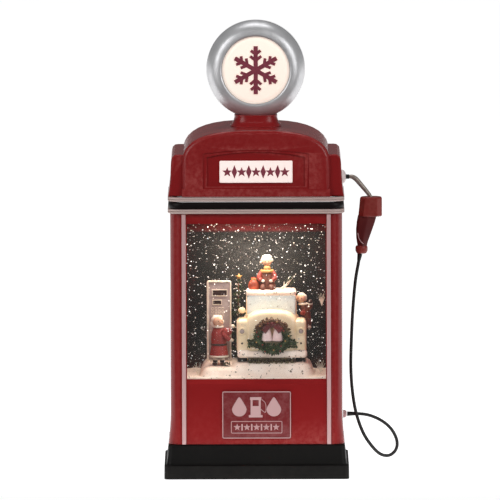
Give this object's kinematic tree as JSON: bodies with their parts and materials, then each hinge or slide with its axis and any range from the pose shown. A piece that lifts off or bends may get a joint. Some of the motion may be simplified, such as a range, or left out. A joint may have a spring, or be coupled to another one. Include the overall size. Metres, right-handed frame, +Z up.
{
  "type": "table lantern in the shape of a fuel pump",
  "caption": "Battery-lit glitter lantern shaped like a vintage fuel pump, with a windowed water tank, a round lit globe on top and a nozzle on a hose.",
  "frame": {"origin": "centre of the underside of the base, on the surface that the lantern stands on", "axes": "+Z up, front with the window towards -Y, the nozzle and hose on the +X side"},
  "size_m": [0.1524, 0.092, 0.2949],
  "materials": {
    "housing_red": "satin-gloss painted red plastic",
    "base_black": "satin black plastic",
    "belt_black": "gloss black band",
    "trim_silver": "silver painted moulding",
    "globe_silver": "satin silver metallised plastic",
    "face_cream": "lit translucent cream",
    "sign_cream": "satin cream enamel",
    "screw_steel": "zinc plated",
    "motor_steel": "pressed steel",
    "magnet_dark": "sintered ferrite",
    "cell_jacket": "printed sleeve with plain bands",
    "inner_white": "plain white moulding",
    "board_green": "solder-masked board",
    "seal_rubber": "soft black rubber",
    "tank_clear": "clear moulded tank wall",
    "backdrop_dark": "dark grey-brown card",
    "scene_snow": "painted cast resin snow",
    "scene_cream": "painted cast resin",
    "scene_green": "painted cast resin",
    "scene_grey": "painted cast resin",
    "scene_red": "painted cast resin",
    "spout_metal": "dull grey metal",
    "nozzle_red": "satin red plastic",
    "hose_black": "smooth black rubber cord"
  },
  "bodies": {
    "housing": {"base_plinth": "base_black", "base_plate": "base_black", "base_screw_1": "screw_steel", "base_screw_2": "screw_steel", "base_screw_3": "screw_steel", "base_screw_4": "screw_steel", "battery_box": "base_black", "battery_cell_1": "cell_jacket", "battery_cell_2": "cell_jacket", "battery_cell_3": "cell_jacket", "contact_strip_front": "screw_steel", "contact_strip_rear": "screw_steel", "body_shell": "housing_red", "rear_cover": "housing_red", "rear_screw_1": "screw_steel", "rear_screw_2": "screw_steel", "rear_screw_3": "screw_steel", "rear_screw_4": "screw_steel", "corner_strip_left": "trim_silver", "corner_strip_right": "trim_silver", "front_plaque": "housing_red", "belt_trim_lower": "trim_silver", "belt_band": "belt_black", "belt_trim_upper": "trim_silver", "hood": "housing_red", "sign_plate": "sign_cream", "neck_collar": "housing_red", "globe_ring": "globe_silver", "globe_face_front": "face_cream", "globe_face_rear": "face_cream", "globe_led": "inner_white", "water_tank": "tank_clear", "tank_gasket": "seal_rubber", "tank_floor": "inner_white", "fill_plug": "seal_rubber", "impeller_cover": "inner_white", "backdrop": "backdrop_dark", "tank_light_board": "board_green", "motor": "motor_steel", "motor_bracket": "motor_steel", "circuit_board": "board_green", "switch_body": "motor_steel", "snow_ground": "scene_snow", "truck": "scene_cream", "wreath": "scene_green", "mini_pump": "scene_grey", "figure_left": "scene_red", "figure_top": "scene_red", "figure_right": "scene_red", "nozzle_boss": "trim_silver", "hose_socket": "trim_silver", "hose": "hose_black"},
    "door": {"battery_door": "base_black"},
    "slider": {"switch_slider": "base_black"},
    "rotor": {"magnet_rotor": "magnet_dark"},
    "stirrer": {"impeller": "inner_white"},
    "nozzle": {"nozzle_body": "nozzle_red", "nozzle_ferrule": "nozzle_red", "nozzle_spout": "spout_metal", "spout_tip": "seal_rubber"}
  },
  "joints": [
    {"name": "door_hinge", "type": "hinge", "parent": "housing", "child": "door", "pos_m": [0.03, 0.0267, 0.0002], "axis": [1, 0, 0], "range_deg": [0, 100]},
    {"name": "switch_slide", "type": "slide", "parent": "housing", "child": "slider", "axis": [1, 0, 0], "range_m": [-0.0025, 0.0025]},
    {"name": "rotor_spin", "type": "hinge", "parent": "housing", "child": "rotor", "pos_m": [0, 0, 0.04], "axis": [0, 0, 1], "continuous": true},
    {"name": "stirrer_spin", "type": "hinge", "parent": "housing", "child": "stirrer", "pos_m": [0, 0, 0.053], "axis": [0, 0, 1], "continuous": true},
    {"name": "nozzle_pull", "type": "slide", "parent": "housing", "child": "nozzle", "axis": [1, 0, 0], "range_m": [0, 0.02], "deforming": ["hose"]}
  ],
  "couplings": [
    {"joint": "stirrer_spin", "follows": "rotor_spin", "ratio": 1}
  ]
}
